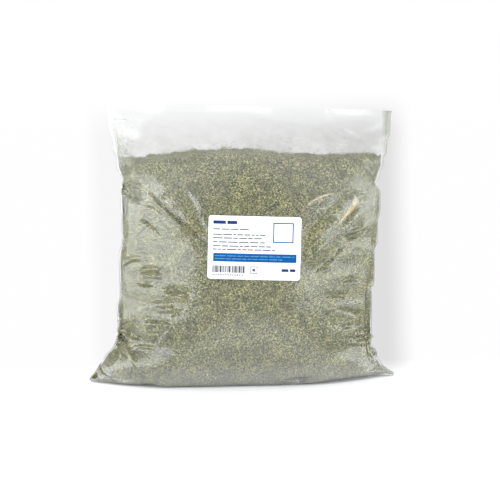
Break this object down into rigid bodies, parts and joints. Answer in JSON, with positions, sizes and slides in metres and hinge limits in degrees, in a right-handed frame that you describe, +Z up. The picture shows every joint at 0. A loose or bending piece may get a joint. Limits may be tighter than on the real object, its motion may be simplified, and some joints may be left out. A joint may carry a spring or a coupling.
{
  "type": "bag of dried dill",
  "caption": "Clear welded film bag filled with dried dill tips, standing on its base, with a paper label on the front.",
  "frame": {"origin": "centre of the bag's box, on the surface that the bag stands on", "axes": "+Z up, +X to the right as seen from the labelled front, -Y out of the labelled front"},
  "size_m": [0.345, 0.133, 0.3121],
  "materials": {
    "film": "clear glossy polythene film, slightly hazy",
    "dill": "dry rubbed leaf tips, matt, olive green with straw-coloured bits",
    "label_paper": "smooth white paper with a blue band"
  },
  "bodies": {
    "root": {"film_bag": "film", "dill_fill": "dill", "label": "label_paper"}
  },
  "joints": []
}
